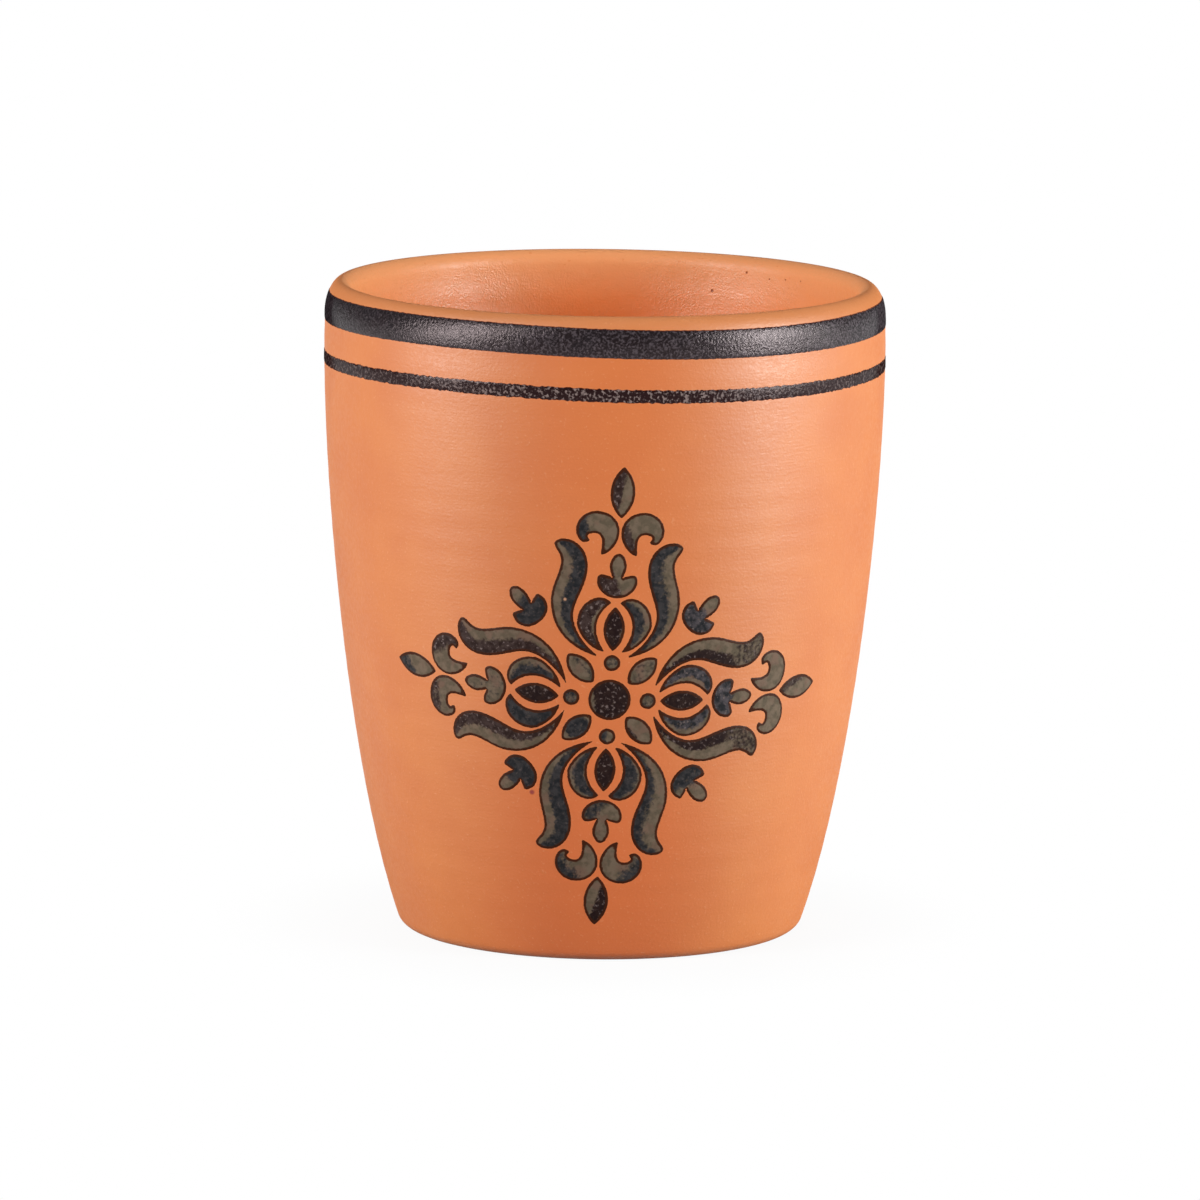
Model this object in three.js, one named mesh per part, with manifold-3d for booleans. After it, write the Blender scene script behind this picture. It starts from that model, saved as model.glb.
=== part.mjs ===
// A handleless clay tea cup with two enamel stripes and a four-armed enamel flower.
// Millimetres, +Z up, origin on the table under the middle of the cup, flower towards -Y.
import * as THREE from 'three';
import { mergeVertices } from 'three/addons/utils/BufferGeometryUtils.js';
import Module from 'manifold-3d';

const { degToRad, lerp } = THREE.MathUtils;

// Outer wall: one curve from the table to the height of the lip.
const CUP_HEIGHT = 86.6;
const FOOT_RADIUS = 26.6;
const RIM_RADIUS = 36.9;
const FOOT_LEAN = degToRad(20.4);
const RIM_LEAN = degToRad(-5.6);
const FOOT_FLARE = 22.8; // how far the wall follows its lean at the foot
const RIM_FLARE = 16.5; // how far the wall follows its lean at the rim

// Clay: wall, floor, lip and foot.
const WALL = 3.4;
const FLOOR_TOP = 5.0;
const FLOOR_CORNER = 9.0; // size of the curve between floor and inner wall
const LIP_INNER_ROUND = 1.1; // from the crest of the lip to the inner wall
const LIP_INNER_DROP = 1.3;
const LIP_OUTER_DROP = 2.5;
const FOOT_ROUND = 1.2;
const FOOT_RING_WIDTH = 5.0;
const FOOT_RECESS = 1.0;

// Enamel stripes on the outer wall, from the lip down.
const ENAMEL = 0.2;
const BOND = 0.05; // gap between clay and enamel
const LIP_TO_UPPER_BAND = 1.6;
const UPPER_BAND_WIDTH = 3.8;
const BAND_SPACING = 3.9; // bare clay between the stripes
const LOWER_BAND_WIDTH = 1.8;
const BAND_TILT = degToRad(1.04); // the stripes stand a little higher on the -X side

// The flower fills the wall between two margins.
const BAND_TO_FLOWER = 8.4;
const TABLE_TO_FLOWER = 5.2;
const FLOWER_TURN = degToRad(1.7); // round the cup, towards +X
const FLOWER_TILT = degToRad(2.9); // clockwise as seen from the front

// Fineness of the solids.
const SEGMENTS = 60;
const WALL_ROWS = 8;
const CURVE_ROWS = 3;
const OUTLINE_BEND = degToRad(34); // most that an outline turns at one corner of its polygon

// Ways that the four arms and the sprigs between them point, in degrees clockwise from the top.
const ARMS = { top: 0, right: 90, bottom: 180, left: 270 };
const CORNERS = { top_right: 45, bottom_right: 135, bottom_left: 225, top_left: 315 };
const DRAWN_REACH = 100; // the flower is drawn on a grid with arms of 100 units

const CLAY = { color: 0xd97e4c, roughness: 0.6, metalness: 0 };
const CHARCOAL = { color: 0x474249, roughness: 0.45, metalness: 0 };
const PLUM = { color: 0x352833, roughness: 0.4, metalness: 0 };
const OLIVE = { color: 0x69604f, roughness: 0.4, metalness: 0 };
const NAVY = { color: 0x3a3838, roughness: 0.4, metalness: 0 };

// Places that follow from the sizes above.
const upperBandTop = CUP_HEIGHT - LIP_TO_UPPER_BAND;
const lowerBandTop = upperBandTop - UPPER_BAND_WIDTH - BAND_SPACING;
const flowerTop = lowerBandTop - LOWER_BAND_WIDTH - BAND_TO_FLOWER;
const flowerHeight = (flowerTop + TABLE_TO_FLOWER) / 2;

const wasm = await Module();
wasm.setup();

// Outer wall curve, in the plane of radius and height

function leaning(lean, length) {
  return new THREE.Vector2(Math.sin(lean), Math.cos(lean)).multiplyScalar(length);
}

const wallFoot = new THREE.Vector2(FOOT_RADIUS, 0);
const wallRim = new THREE.Vector2(RIM_RADIUS, CUP_HEIGHT);
const wallCurve = new THREE.CubicBezierCurve(
  wallFoot,
  wallFoot.clone().add(leaning(FOOT_LEAN, FOOT_FLARE)),
  wallRim.clone().sub(leaning(RIM_LEAN, RIM_FLARE)),
  wallRim,
);

// Place along the wall curve of a given height, found by halving.
function wallPlace(height) {
  const halvings = 40;
  let low = 0;
  let high = 1;
  for (let step = 0; step < halvings; step++) {
    const middle = (low + high) / 2;
    if (wallCurve.getPoint(middle).y < height) low = middle;
    else high = middle;
  }
  return (low + high) / 2;
}

function wallRadius(height) {
  return wallCurve.getPoint(wallPlace(height)).x;
}

function wallLean(height) {
  const along = wallCurve.getTangent(wallPlace(height));
  return Math.atan2(along.x, along.y);
}

// Points of the wall between two heights, moved out of the clay by a distance.
function wallPoints(from, to, outwards) {
  const start = wallPlace(from);
  const end = wallPlace(to);
  const points = [];
  for (let row = 0; row <= WALL_ROWS; row++) {
    const place = lerp(start, end, row / WALL_ROWS);
    const along = wallCurve.getTangent(place);
    const out = new THREE.Vector2(along.y, -along.x);
    points.push(wallCurve.getPoint(place).addScaledVector(out, outwards));
  }
  return points;
}

// Profile of the clay: under the foot, up the outside, over the lip and down the inside

// A rounded corner from one point to another.
function rounded(from, corner, to) {
  const roundness = 0.55;
  return new THREE.CubicBezierCurve(
    from,
    from.clone().lerp(corner, roundness),
    to.clone().lerp(corner, roundness),
    to,
  ).getPoints(CURVE_ROWS);
}

const lipCrest = new THREE.Vector2(RIM_RADIUS - WALL + LIP_INNER_ROUND, CUP_HEIGHT);

function footProfile() {
  const ringOuter = FOOT_RADIUS - FOOT_ROUND;
  const ringInner = ringOuter - FOOT_RING_WIDTH;
  const wallStart = wallCurve.getPoint(wallPlace(FOOT_ROUND));
  return [
    new THREE.Vector2(0, FOOT_RECESS),
    new THREE.Vector2(ringInner - FOOT_RECESS, FOOT_RECESS),
    new THREE.Vector2(ringInner, 0),
    ...rounded(new THREE.Vector2(ringOuter, 0), wallFoot, wallStart).slice(0, -1),
  ];
}

function outerProfile() {
  const wall = wallPoints(FOOT_ROUND, CUP_HEIGHT - LIP_OUTER_DROP, 0);
  const shoulder = wall.at(-1);
  const corner = new THREE.Vector2(RIM_RADIUS, CUP_HEIGHT);
  return [...wall.slice(0, -1), ...rounded(shoulder, corner, lipCrest)];
}

function innerProfile() {
  const cornerTop = FLOOR_TOP + FLOOR_CORNER;
  const wall = wallPoints(cornerTop, CUP_HEIGHT - LIP_INNER_DROP, -WALL).reverse();
  const edge = wall[0];
  const low = wall.at(-1);
  const lipCorner = new THREE.Vector2(edge.x, CUP_HEIGHT);
  const inset = (low.y - FLOOR_TOP) * Math.tan(wallLean(cornerTop));
  const floorCorner = new THREE.Vector2(low.x - inset, FLOOR_TOP);
  const floorEdge = new THREE.Vector2(floorCorner.x - FLOOR_CORNER, FLOOR_TOP);
  return [
    ...rounded(lipCrest, lipCorner, edge).slice(1),
    ...wall.slice(1, -1),
    ...rounded(low, floorCorner, floorEdge),
    new THREE.Vector2(0, FLOOR_TOP),
  ];
}

// Turning, and cutting with solids

// Geometry with shared corners and no collapsed triangles.
function closed(geometry) {
  geometry.deleteAttribute('normal');
  geometry.deleteAttribute('uv');
  const merged = mergeVertices(geometry);
  const indices = Array.from(merged.index.array);
  const kept = [];
  for (let at = 0; at < indices.length; at += 3) {
    const [a, b, c] = indices.slice(at, at + 3);
    if (a !== b && b !== c && c !== a) kept.push(a, b, c);
  }
  merged.setIndex(kept);
  return merged;
}

function turned(profile) {
  return closed(new THREE.LatheGeometry(profile, SEGMENTS).rotateX(Math.PI / 2));
}

function toSolid(geometry) {
  return new wasm.Manifold(new wasm.Mesh({
    numProp: 3,
    vertProperties: new Float32Array(geometry.attributes.position.array),
    triVerts: new Uint32Array(geometry.index.array),
  }));
}

function toGeometry(solid) {
  const mesh = solid.getMesh();
  const geometry = new THREE.BufferGeometry();
  geometry.setAttribute('position', new THREE.BufferAttribute(mesh.vertProperties, 3));
  geometry.setIndex(new THREE.BufferAttribute(mesh.triVerts, 1));
  geometry.computeVertexNormals();
  return geometry;
}

// A thin coat over the whole outer wall, from which the stripes and the flower are cut.
function enamelCoat() {
  const wall = outerProfile();
  const side = (outwards) => wall.map((point, at) => {
    const before = wall[Math.max(at - 1, 0)];
    const after = wall[Math.min(at + 1, wall.length - 1)];
    const along = after.clone().sub(before).normalize();
    return point.clone().addScaledVector(new THREE.Vector2(along.y, -along.x), outwards);
  });
  const outside = side(BOND + ENAMEL);
  const inside = side(BOND).reverse();
  return toSolid(turned([...outside, ...inside, outside[0].clone()]));
}

const coat = enamelCoat();

// A stripe round the cup: the part of the coat inside a flat, slightly tilted slab.
function band(top, width) {
  const across = 4 * RIM_RADIUS;
  const slab = new THREE.BoxGeometry(across, across, width);
  slab.rotateY(BAND_TILT);
  slab.translate(0, 0, top - width / 2);
  return toGeometry(coat.intersect(toSolid(closed(slab))));
}

// Outlines of the flower, drawn anticlockwise on the grid with the arm pointing up

function spot(middle, radius) {
  const path = new THREE.Path();
  path.absarc(0, middle, radius, 0, 2 * Math.PI);
  return path;
}

// A leaf between two heights: two long arcs that meet in small round tips.
function leaf(from, to, halfWidth, tip) {
  const middle = (from + to) / 2;
  const rise = (to - from) / 2 - tip;
  const radius = (halfWidth ** 2 + rise ** 2 - tip ** 2) / (2 * (halfWidth - tip));
  const aside = radius - halfWidth;
  const half = Math.atan2(rise, aside);
  const path = new THREE.Path();
  path.curves.push(
    new THREE.ArcCurve(-aside, middle, radius, -half, half),
    new THREE.ArcCurve(0, middle + rise, tip, half, Math.PI - half),
    new THREE.ArcCurve(aside, middle, radius, Math.PI - half, Math.PI + half),
    new THREE.ArcCurve(0, middle - rise, tip, Math.PI + half, 2 * Math.PI - half),
  );
  return path;
}

function centreDisc() {
  return spot(0, 8.6);
}

function dot() {
  return spot(16.0, 3.45);
}

function diagonalLeaf() {
  return leaf(10.4, 26.2, 4.65, 1.3);
}

function seed() {
  return leaf(21.3, 40.1, 4.4, 0.5);
}

function tipLeaf() {
  return leaf(78.3, 100, 5.1, 0.5);
}

function innerPetal() {
  const path = new THREE.Path();
  path.moveTo(3.4, 20.7);
  path.bezierCurveTo(9.1, 20.9, 15.6, 28.1, 15.6, 32.7);
  path.bezierCurveTo(15.6, 42.7, 5.8, 46.9, 1.9, 41.9);
  path.bezierCurveTo(10.0, 35.0, 8.2, 27.3, 3.4, 20.7);
  return path;
}

function outerPetal() {
  const path = new THREE.Path();
  path.moveTo(5.5, 18.4);
  path.bezierCurveTo(16.7, 20.4, 27.3, 28.3, 27.0, 42.4);
  path.bezierCurveTo(27.0, 47.8, 23.8, 53.3, 23.8, 57.9);
  path.bezierCurveTo(23.8, 61.6, 26.3, 62.9, 27.0, 65.2);
  path.bezierCurveTo(27.3, 66.6, 25.0, 68.0, 22.8, 68.0);
  path.bezierCurveTo(17.0, 68.0, 12.6, 63.2, 12.6, 56.2);
  path.bezierCurveTo(12.6, 48.2, 17.4, 42.1, 17.4, 36.0);
  path.bezierCurveTo(17.4, 29.7, 12.0, 22.8, 5.5, 18.4);
  return path;
}

function bud() {
  const path = new THREE.Path();
  path.moveTo(0, 44.0);
  path.bezierCurveTo(5.1, 44.0, 9.1, 49.1, 7.7, 53.8);
  path.bezierCurveTo(6.1, 54.1, 3.9, 53.3, 2.3, 53.0);
  path.bezierCurveTo(2.7, 54.6, 3.5, 55.9, 3.5, 57.6);
  path.bezierCurveTo(3.5, 60.2, 2.0, 63.2, 0, 63.2);
  path.bezierCurveTo(-2.0, 63.2, -3.5, 60.2, -3.5, 57.6);
  path.bezierCurveTo(-3.5, 55.9, -2.7, 54.6, -2.3, 53.0);
  path.bezierCurveTo(-3.9, 53.3, -6.1, 54.1, -7.7, 53.8);
  path.bezierCurveTo(-9.1, 49.1, -5.1, 44.0, 0, 44.0);
  return path;
}

function scroll() {
  const path = new THREE.Path();
  path.moveTo(7.6, 62.3);
  path.bezierCurveTo(7.5, 63.6, 7.3, 64.8, 7.3, 66.6);
  path.bezierCurveTo(7.3, 69.2, 8.0, 71.4, 10.3, 71.4);
  path.bezierCurveTo(13.2, 71.4, 14.4, 69.7, 12.4, 68.7);
  path.bezierCurveTo(12.5, 67.7, 13.6, 67.2, 14.8, 67.2);
  path.bezierCurveTo(16.5, 67.2, 18.4, 69.7, 18.4, 72.7);
  path.bezierCurveTo(18.4, 77.0, 14.6, 80.9, 9.8, 80.9);
  path.bezierCurveTo(4.5, 80.9, 0.4, 77.4, 0.4, 72.2);
  path.bezierCurveTo(0.4, 67.1, 4.2, 62.8, 7.6, 62.3);
  return path;
}

// From a drawn outline to a patch of enamel on the wall

// Corners of a curve's polygon, without its end: more where the curve bends more.
function polygonCorners(curve) {
  const probes = 8;
  let bend = 0;
  for (let probe = 0; probe < probes; probe++) {
    bend += curve.getTangent(probe / probes).angleTo(curve.getTangent((probe + 1) / probes));
  }
  return curve.getPoints(Math.max(1, Math.ceil(bend / OUTLINE_BEND))).slice(0, -1);
}

// The wall is close to a cone over the flower's height, so the flat sheet is rolled into that cone.
const coneLean = wallLean(flowerHeight);
const coneApex = wallRadius(flowerHeight) / Math.sin(coneLean);
const flowerReach = (flowerTop - flowerHeight) / Math.cos(coneLean);

// Flat points of an outline in real size, mirrored for a left-hand piece and turned to its arm.
function outline(path, turn, mirrored) {
  const points = path.curves.flatMap(polygonCorners);
  const middle = new THREE.Vector2();
  for (const point of points) {
    point.multiplyScalar(flowerReach / DRAWN_REACH);
    if (mirrored) point.x = -point.x;
    point.rotateAround(middle, -degToRad(turn) - FLOWER_TILT);
  }
  return mirrored ? points.reverse() : points;
}

function laidOnWall(point) {
  const distance = Math.hypot(point.x, coneApex + point.y);
  const height = flowerHeight + (distance - coneApex) * Math.cos(coneLean);
  const radius = wallRadius(height);
  const turn = FLOWER_TURN + (Math.atan2(point.x, coneApex + point.y) * distance) / radius;
  return { height, radius, turn };
}

// The part of the coat under an outline: a plug with that outline goes through the wall.
function patch(path, turn = 0, mirrored = false) {
  const points = outline(path, turn, mirrored);
  const places = points.map(laidOnWall);
  const positions = [];
  for (const outwards of [-WALL, WALL]) {
    for (const place of places) {
      const radius = place.radius + outwards;
      positions.push(radius * Math.sin(place.turn), -radius * Math.cos(place.turn), place.height);
    }
  }
  const count = points.length;
  const faces = [];
  for (const [a, b, c] of THREE.ShapeUtils.triangulateShape(points, [])) {
    faces.push(count + a, count + b, count + c, c, b, a);
  }
  for (let at = 0; at < count; at++) {
    const next = (at + 1) % count;
    faces.push(at, next, count + next, at, count + next, count + at);
  }
  const plug = new THREE.BufferGeometry();
  plug.setAttribute('position', new THREE.Float32BufferAttribute(positions, 3));
  plug.setIndex(faces);
  return toGeometry(coat.intersect(toSolid(plug)));
}

// The cup and its pieces

const cup = new THREE.Group();

function add(name, geometry, finish) {
  const mesh = new THREE.Mesh(geometry, new THREE.MeshStandardMaterial(finish));
  mesh.name = name;
  cup.add(mesh);
}

add('cup_body', turned([...footProfile(), ...outerProfile(), ...innerProfile()]), CLAY);
add('upper_band', band(upperBandTop, UPPER_BAND_WIDTH), CHARCOAL);
add('lower_band', band(lowerBandTop, LOWER_BAND_WIDTH), PLUM);
add('centre_disc', patch(centreDisc()), PLUM);

for (const [arm, turn] of Object.entries(ARMS)) {
  add(`dot_${arm}`, patch(dot(), turn), OLIVE);
  add(`seed_${arm}`, patch(seed(), turn), PLUM);
  add(`bud_${arm}`, patch(bud(), turn), OLIVE);
  add(`tip_leaf_${arm}`, patch(tipLeaf(), turn), OLIVE);
  for (const [hand, mirrored] of [['left', true], ['right', false]]) {
    add(`inner_petal_${arm}_${hand}`, patch(innerPetal(), turn, mirrored), NAVY);
    add(`outer_petal_${arm}_${hand}`, patch(outerPetal(), turn, mirrored), NAVY);
    add(`scroll_${arm}_${hand}`, patch(scroll(), turn, mirrored), OLIVE);
  }
}

for (const [corner, turn] of Object.entries(CORNERS)) {
  add(`diagonal_leaf_${corner}`, patch(diagonalLeaf(), turn), OLIVE);
  add(`corner_bud_${corner}`, patch(bud(), turn), NAVY);
}

export default cup;
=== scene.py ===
# Looks of a handleless clay tea cup with two enamel stripes and a four-armed enamel flower.
# Sizes are in millimetres, +Z up, origin on the table under the middle of the cup, flower towards -Y.
import math

import bpy
import numpy as np
from mathutils import Matrix, Vector, noise
from mathutils.geometry import delaunay_2d_cdt

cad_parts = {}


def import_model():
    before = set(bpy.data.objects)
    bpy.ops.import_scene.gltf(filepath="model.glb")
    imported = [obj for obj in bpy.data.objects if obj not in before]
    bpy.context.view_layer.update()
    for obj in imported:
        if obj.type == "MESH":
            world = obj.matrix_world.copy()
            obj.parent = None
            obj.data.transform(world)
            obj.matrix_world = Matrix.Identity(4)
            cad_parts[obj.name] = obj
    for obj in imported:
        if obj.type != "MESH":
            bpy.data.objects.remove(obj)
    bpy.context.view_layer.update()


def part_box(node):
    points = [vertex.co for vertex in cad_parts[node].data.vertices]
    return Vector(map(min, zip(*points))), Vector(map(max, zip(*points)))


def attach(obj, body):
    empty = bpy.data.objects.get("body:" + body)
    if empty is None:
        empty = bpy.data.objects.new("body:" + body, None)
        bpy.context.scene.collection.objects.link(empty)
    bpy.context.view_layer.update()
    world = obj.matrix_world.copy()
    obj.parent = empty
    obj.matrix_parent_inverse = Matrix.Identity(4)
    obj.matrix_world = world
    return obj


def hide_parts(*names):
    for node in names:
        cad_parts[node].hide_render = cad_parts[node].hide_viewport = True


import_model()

MM = 0.001  # metres in a millimetre
BODY = "root"

# Outer wall: one curve from the table to the height of the lip
CUP_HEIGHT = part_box("cup_body")[1].z / MM
FOOT_RADIUS = 26.6
RIM_RADIUS = 36.9
FOOT_LEAN = math.radians(20.4)
RIM_LEAN = math.radians(-5.6)
FOOT_FLARE = 22.8  # how far the wall follows its lean at the foot
RIM_FLARE = 16.5  # how far the wall follows its lean at the rim
WALL_SAMPLES = 2001  # points along the curve

# Unevenness of the hand-finished wall: depths of its waves, heights over which they shift, and starts
OVAL_DEPTH = 0.05
OVAL_SHIFT = 40.0
OVAL_START = 0.6
LOBES_DEPTH = 0.03
LOBES_SHIFT = 25.0
LOBES_START = 1.1
RINGS_DEPTH = 0.012
RINGS_SHIFT = 0.55
RINGS_FADE = 7.3  # the rings come and go over this height
RINGS_SWAY = 0.8  # and aren't quite level
SWAY_START = 0.4
EVEN_FOOT = 6.0  # height over which the waves set in above the table
EVEN_FLOOR = 20.0  # radius over which they set in on the floor

# Clay: wall, floor, lip and foot
WALL = 3.4
WALL_SWELL = 0.65  # how much thicker the wall is in the middle of the swell below the lip
SWELL_DEPTH = 36.0  # where the swell ends, below the lip
FLOOR_TOP = 5.0
FLOOR_CORNER = 9.0  # size of the curve between floor and inner wall
LIP_INNER_ROUND = 1.6  # from the crest of the lip in to the inner wall
LIP_INNER_DROP = 1.8  # and down to it
LIP_OUTER_DROP = 3.8  # from the crest down to where the outer wall starts to round
LIP_REACH_INSIDE = 9.0  # depth over which the clay is painted paler towards the lip, as painted highlight
LIP_REACH_OUTSIDE = 4.0
LIP_SAG = 0.2  # the hand-finished lip lies lower than its true height
LIP_SLANT = 0.15  # and lower yet on the +X side
FOOT_ROUND = 1.2
FOOT_RING_WIDTH = 5.0
FOOT_RECESS = 1.0
ROUNDNESS = 0.55  # share of the way to a corner at which a curve is close to a circle's arc

# Faces of the clay: round the cup, up the wall, and points along the other stretches of its profile
CLAY_SEGMENTS = 216
CLAY_STEP = 0.6
RECESS_POINTS = 14
SLOPE_POINTS = 9
RING_POINTS = 8
FOOT_POINTS = 9
OUTER_LIP_POINTS = 17
INNER_LIP_POINTS = 13
CORNER_POINTS = 19
FLOOR_POINTS = 15

# Enamel stripes, from the lip down
LIP_TO_UPPER_BAND = 1.6
UPPER_BAND_WIDTH = 3.8
BAND_SPACING = 3.9  # bare clay between the stripes
LOWER_BAND_WIDTH = 1.8
BAND_TILT = math.radians(0.65)  # the stripes stand a little higher on the -X side
BAND_WAVE = 0.2  # and aren't quite level
BAND_WAVES = 3
UPPER_BAND_RAGGED = 0.06  # how far the edges stray
LOWER_BAND_RAGGED = 0.14
BAND_RAGGED_SIZE = 0.45  # how long each stray is
BAND_SEGMENTS = 1440
BAND_STEP = 0.26
BAND_EDGE_ROW = 0.3  # share of a step that the row along an edge has
LIP_SAMPLES = 33  # points of the lip's rounding, which the upper stripe follows

# The flower fills the wall between two margins
BAND_TO_FLOWER = 8.4
TABLE_TO_FLOWER = 5.2
FLOWER_TURN = math.radians(1.7)  # round the cup, towards +X
FLOWER_TILT = math.radians(2.9)  # clockwise as seen from the front
DRAWN_REACH = 100.0  # the flower is drawn on a grid with arms of 100 units
MOTIF_RAGGED = 0.045  # how far the edges stray
MOTIF_RAGGED_SIZE = 0.3
OUTLINE_STEP = 0.13
OUTLINE_SAMPLES = 33  # points by which the length of a curve is measured
FILL_STEP = 0.34

# Ways that the arms and the sprigs between them point, in degrees clockwise from the top
ARMS = {"top": 0, "right": 90, "bottom": 180, "left": 270}
CORNERS = {"top_right": 45, "bottom_right": 135, "bottom_left": 225, "top_left": 315}

# Relief of the fired enamel
SINK = 0.02  # its rim melts this far into the clay
SPREAD = 0.05  # and runs this far past the drawn outline
RELIEF = 0.045
DOME = 0.02  # more height in the middle of a wide patch
DOME_REACH = 0.8
BEVEL = 0.28  # width of the rounded rim
BEVEL_ROWS = (0.4, 1.0)  # shares of the rim's width at which it has rows of points
ROW_CLEARANCE = 0.9  # share of that distance by which a row stays off every edge
UNDERSIDE = 0.12  # depth of its hidden back in the clay
PEBBLE = 0.012  # height of its pebbled skin
BAND_PEBBLE_SIZE = 0.4
MOTIF_PEBBLE_SIZE = 0.5

# Tones of the petals, at heights on the drawn grid or at shares of the way across
ROOT_ZONE = (27, 20)
TIP_ZONE = (48, 58)
RIM_ZONE = (-0.15, 0.05)
SOFT_REACH = 1.7  # half of a border's width, in its softness
SPOT_CORE = 0.6  # share of a spot's radius that is fully dark
TONE_SAMPLES = 25  # points along a curve of the outline

# Pits in the inner wall, a drip on the wall and a chip in the enamel: turn in degrees, height, radius
PITS = [
    (154.3, 81.5, 0.26),
    (145.2, 84.5, 0.2),
    (138.6, 83.9, 0.14),
    (133.6, 84.1, 0.14),
    (128.4, 84.2, 0.13),
]
DRIP = (-16.1, 23.3, 0.46)
CHIP = (-7.8, 49.55, 0.32)
MARK_CORE = 0.35  # share of a mark's radius that has its full colour

# Places between which colours change
PAINTED_SHADE_WIDTH = (4, 21)  # painted shade: redder clay in the middle of the front, strongest at the foot
PAINTED_SHADE_HEIGHT = (15, 50)
PAINTED_SHADE_ABOVE = 0.5  # share of it that is left higher up
PAINTED_SHADE_FRONT = (-20, 0)
MIDDLE_PAINTED_SHADE_WIDTH = (3, 15)  # painted shade: redder clay in the middle of the inside, whose sides are painted paler as painted light
STRIPE_END_PAINTED_LIGHT_REACH = (10, 27)  # stripes have other specks aside than in the middle, as painted shade and sheen on their ends
FRINGE_WIDTH = (0, 0.16)  # brown rim of a stripe
OUTLINE_WIDTH = (0.3, 0.48)  # dark rim of a painted motif

# Camera
AIM_ASIDE = -0.339
AIM_HEIGHT = 43.641
CAMERA_DISTANCE = 1209.07
CAMERA_PITCH = math.radians(9.322)
CAMERA_ROLL = math.radians(0.514)
SENSOR = 36.0
LENS = 272.04

# Floor and lights
FLOOR_SIZE = 6000.0
FLOOR_DROP = 0.05  # the floor lies just under the foot
SHADOW_REACH = (24, 55)  # from the axis, over which the floor gets fully white
SHADOW_WHITENESS = 0.93  # at the foot
MIRRORED_REACH = (30, 130)  # the same for the floor as the cup mirrors it
MIRRORED_WHITENESS = 0.3
LAMP_DISTANCE = 1250.0
WORLD_STRENGTH = 0.12

# Places that follow from the sizes above
LIP_CREST = (RIM_RADIUS - WALL + LIP_INNER_ROUND, CUP_HEIGHT)
UPPER_BAND_TOP = CUP_HEIGHT - LIP_TO_UPPER_BAND
LOWER_BAND_TOP = UPPER_BAND_TOP - UPPER_BAND_WIDTH - BAND_SPACING
FLOWER_TOP = LOWER_BAND_TOP - LOWER_BAND_WIDTH - BAND_TO_FLOWER
FLOWER_HEIGHT = (FLOWER_TOP + TABLE_TO_FLOWER) / 2

# Limits for filling an outline
TINY = 1e-9  # stands in for a length of nothing where it is divided by
MERGED_WITHIN = 1e-7  # points closer than this become one
INSIDE_ONLY = 1  # only the faces inside the outline are kept


# Curves


def step(low, high, values):
    """Values' places between two limits, eased, from 0 to 1."""
    share = np.clip((values - low) / (high - low), 0, 1)
    return share * share * (3 - 2 * share)


def bezier(start, first, second, end, count):
    """Points along a cubic curve, both ends included."""
    share = np.linspace(0, 1, count)[:, None]
    rest = 1 - share
    a, b, c, d = (np.array(point, float) for point in (start, first, second, end))
    return a * rest**3 + 3 * b * share * rest**2 + 3 * c * share**2 * rest + d * share**3


def rounded(start, corner, end, count):
    """Points round a corner, both ends included."""
    start, corner, end = (np.array(point, float) for point in (start, corner, end))
    return bezier(start, start + ROUNDNESS * (corner - start), end + ROUNDNESS * (corner - end), end, count)


def straight(start, end, count):
    return np.linspace(start, end, count)


def leaning(lean, length):
    return length * np.array([math.sin(lean), math.cos(lean)])


def wall_curve():
    """Heights, radii and leans of many points up the outer wall."""
    foot = np.array([FOOT_RADIUS, 0])
    rim = np.array([RIM_RADIUS, CUP_HEIGHT])
    above_foot = foot + leaning(FOOT_LEAN, FOOT_FLARE)
    below_rim = rim - leaning(RIM_LEAN, RIM_FLARE)
    radii, heights = bezier(foot, above_foot, below_rim, rim, WALL_SAMPLES).T
    return heights, radii, np.arctan(np.gradient(radii, heights))


WALL_HEIGHTS, WALL_RADII, WALL_LEANS = wall_curve()


def wall_radius(height):
    return np.interp(height, WALL_HEIGHTS, WALL_RADII)


def wall_lean(height):
    return np.interp(height, WALL_HEIGHTS, WALL_LEANS)


def off_wall(height, outwards):
    """Radius and height of points moved square out of the outer wall."""
    lean = wall_lean(height)
    return wall_radius(height) + outwards * np.cos(lean), height - outwards * np.sin(lean)


def inner_wall(height):
    """Radius and height of the inner wall, which swells some way under the lip."""
    share = np.clip((CUP_HEIGHT - height) / SWELL_DEPTH, 0, 1)
    return off_wall(height, -WALL - WALL_SWELL * np.sin(math.pi * share))


def outer_lip(count):
    """Radius and height round the outside of the lip, up to its crest."""
    low = CUP_HEIGHT - LIP_OUTER_DROP
    return rounded((wall_radius(low), low), (RIM_RADIUS, CUP_HEIGHT), LIP_CREST, count)


def wobble(turn, height):
    """How far the hand-finished wall stands off its true round: two slow waves and fine rings."""
    oval = OVAL_DEPTH * np.sin(2 * turn + OVAL_START + height / OVAL_SHIFT)
    lobes = LOBES_DEPTH * np.sin(3 * turn - LOBES_START - height / LOBES_SHIFT)
    sway = RINGS_SWAY * np.sin(turn + SWAY_START)
    rings = RINGS_DEPTH * np.sin(height / RINGS_SHIFT + sway) * np.sin(height / RINGS_FADE)
    return oval + lobes + rings


def sag(turn, height):
    """How far the hand-finished lip lies under its true height."""
    return np.clip(1 - (CUP_HEIGHT - height) / LIP_OUTER_DROP, 0, 1) * (LIP_SAG + LIP_SLANT * np.sin(turn))


def placed(turn, radius, height):
    """Points round the cup's axis, from the front towards +X."""
    turn, radius, height = np.broadcast_arrays(turn, radius, height)
    return np.stack([radius * np.sin(turn), -radius * np.cos(turn), height], axis=-1)


# Objects and meshes


def add(name, data):
    """A new object in the scene."""
    made = bpy.data.objects.new(name, data)
    bpy.context.scene.collection.objects.link(made)
    return made


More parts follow.
